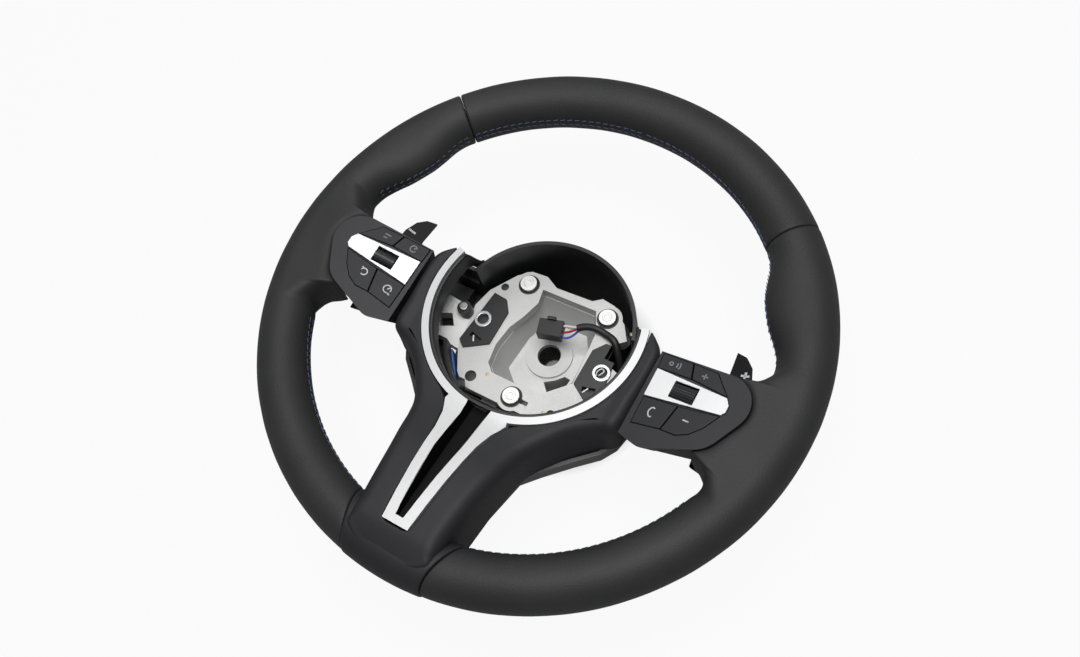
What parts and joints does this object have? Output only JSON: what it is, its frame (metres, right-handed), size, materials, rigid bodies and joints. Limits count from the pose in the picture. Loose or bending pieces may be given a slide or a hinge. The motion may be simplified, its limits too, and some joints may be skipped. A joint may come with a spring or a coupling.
{
  "type": "car steering wheel",
  "caption": "Leather covered car steering wheel with side and lower spokes, switch packs, shift paddles and a bare cast hub that awaits its centre cover.",
  "frame": {"origin": "centre of the column bore at the hub's rear face", "axes": "+Z along the column toward the driver, +Y toward the wheel's top, +X to the driver's right"},
  "size_m": [0.37, 0.3706, 0.1103],
  "materials": {
    "leather": "satin",
    "foam": "matte",
    "casting": "satin",
    "cover_plastic": "matte",
    "trim_silver": "satin",
    "slot_black": "gloss",
    "rear_plastic": "satin",
    "housing_plastic": "satin",
    "insert_silver": "satin",
    "button_plastic": "matte",
    "roller_plastic": "satin",
    "paddle_plastic": "satin",
    "pin_metal": "satin",
    "sleeve_plastic": "satin",
    "bracket_plastic": "satin",
    "eyelet_metal": "satin",
    "plug_black": "satin",
    "lead_black": "satin",
    "wire_white": "satin",
    "wire_red": "satin",
    "wire_blue": "satin",
    "plug_blue": "satin",
    "boss_plastic": "satin",
    "screw_metal": "satin"
  },
  "bodies": {
    "wheel": {"armature": "casting", "rim_foam": "foam", "leather_top": "leather", "leather_left": "leather", "leather_right": "leather", "spoke_cover": "cover_plastic", "trim": "trim_silver", "trim_slot": "slot_black", "rear_cover": "rear_plastic", "lower_back": "rear_plastic", "housing_left": "housing_plastic", "housing_right": "housing_plastic", "insert_left": "insert_silver", "insert_right": "insert_silver", "paddle_base_left": "boss_plastic", "paddle_base_right": "boss_plastic", "pin_sleeves": "sleeve_plastic", "bracket_left": "bracket_plastic", "bracket_right": "bracket_plastic", "eyelet_left": "eyelet_metal", "eyelet_right": "eyelet_metal", "connector": "plug_black", "lead": "lead_black", "wire_white": "wire_white", "wire_red": "wire_red", "wire_blue": "wire_blue", "side_connector": "plug_blue", "side_wire": "wire_red", "control_module": "boss_plastic", "side_boss": "boss_plastic", "side_screw": "screw_metal"},
    "button_left_1": {"button_left_1": "button_plastic"},
    "button_left_2": {"button_left_2": "button_plastic"},
    "button_left_3": {"button_left_3": "button_plastic"},
    "button_left_4": {"button_left_4": "button_plastic"},
    "button_right_1": {"button_right_1": "button_plastic"},
    "button_right_2": {"button_right_2": "button_plastic"},
    "button_right_3": {"button_right_3": "button_plastic"},
    "button_right_4": {"button_right_4": "button_plastic"},
    "rocker_left": {"rocker_left": "roller_plastic"},
    "cradle_right": {"cradle_right": "boss_plastic"},
    "roller_right": {"roller_right": "roller_plastic"},
    "paddle_left": {"paddle_left": "paddle_plastic"},
    "paddle_right": {"paddle_right": "paddle_plastic"},
    "pin_left": {"pin_left": "pin_metal"},
    "pin_right": {"pin_right": "pin_metal"},
    "pin_low": {"pin_low": "pin_metal"}
  },
  "joints": [
    {"name": "press_left_1", "type": "slide", "parent": "wheel", "child": "button_left_1", "axis": [-0.1908, 0, -0.9816], "range_m": [0, 0.001], "stiffness_N_per_m": 800},
    {"name": "press_left_2", "type": "slide", "parent": "wheel", "child": "button_left_2", "axis": [-0.1908, 0, -0.9816], "range_m": [0, 0.001], "stiffness_N_per_m": 800},
    {"name": "press_left_3", "type": "slide", "parent": "wheel", "child": "button_left_3", "axis": [-0.1908, 0, -0.9816], "range_m": [0, 0.001], "stiffness_N_per_m": 800},
    {"name": "press_left_4", "type": "slide", "parent": "wheel", "child": "button_left_4", "axis": [-0.1908, 0, -0.9816], "range_m": [0, 0.001], "stiffness_N_per_m": 800},
    {"name": "press_right_1", "type": "slide", "parent": "wheel", "child": "button_right_1", "axis": [0.1908, 0, -0.9816], "range_m": [0, 0.001], "stiffness_N_per_m": 800},
    {"name": "press_right_2", "type": "slide", "parent": "wheel", "child": "button_right_2", "axis": [0.1908, 0, -0.9816], "range_m": [0, 0.001], "stiffness_N_per_m": 800},
    {"name": "press_right_3", "type": "slide", "parent": "wheel", "child": "button_right_3", "axis": [0.1908, 0, -0.9816], "range_m": [0, 0.001], "stiffness_N_per_m": 800},
    {"name": "press_right_4", "type": "slide", "parent": "wheel", "child": "button_right_4", "axis": [0.1908, 0, -0.9816], "range_m": [0, 0.001], "stiffness_N_per_m": 800},
    {"name": "rocker_left_tilt", "type": "hinge", "parent": "wheel", "child": "rocker_left", "pos_m": [-0.109, -0.009, 0.09644], "axis": [-0.9816, 0, 0.1908], "range_deg": [-12, 12], "stiffness_Nm_per_rad": 0.05},
    {"name": "cradle_right_press", "type": "slide", "parent": "wheel", "child": "cradle_right", "axis": [0.1908, 0, -0.9816], "range_m": [0, 0.001], "stiffness_N_per_m": 800},
    {"name": "roller_right_turn", "type": "hinge", "parent": "cradle_right", "child": "roller_right", "pos_m": [0.109, -0.009, 0.09644], "axis": [0.9816, 0, 0.1908], "continuous": true},
    {"name": "paddle_left_pull", "type": "hinge", "parent": "wheel", "child": "paddle_left", "pos_m": [-0.09, 0, 0.038], "axis": [0, 1, 0], "range_deg": [0, 4], "stiffness_Nm_per_rad": 4},
    {"name": "paddle_right_pull", "type": "hinge", "parent": "wheel", "child": "paddle_right", "pos_m": [0.09, 0, 0.038], "axis": [0, -1, 0], "range_deg": [0, 4], "stiffness_Nm_per_rad": 4},
    {"name": "pin_left_press", "type": "slide", "parent": "wheel", "child": "pin_left", "axis": [0, 0, -1], "range_m": [0, 0.002], "stiffness_N_per_m": 2000},
    {"name": "pin_right_press", "type": "slide", "parent": "wheel", "child": "pin_right", "axis": [0, 0, -1], "range_m": [0, 0.002], "stiffness_N_per_m": 2000},
    {"name": "pin_low_press", "type": "slide", "parent": "wheel", "child": "pin_low", "axis": [0, 0, -1], "range_m": [0, 0.002], "stiffness_N_per_m": 2000}
  ]
}
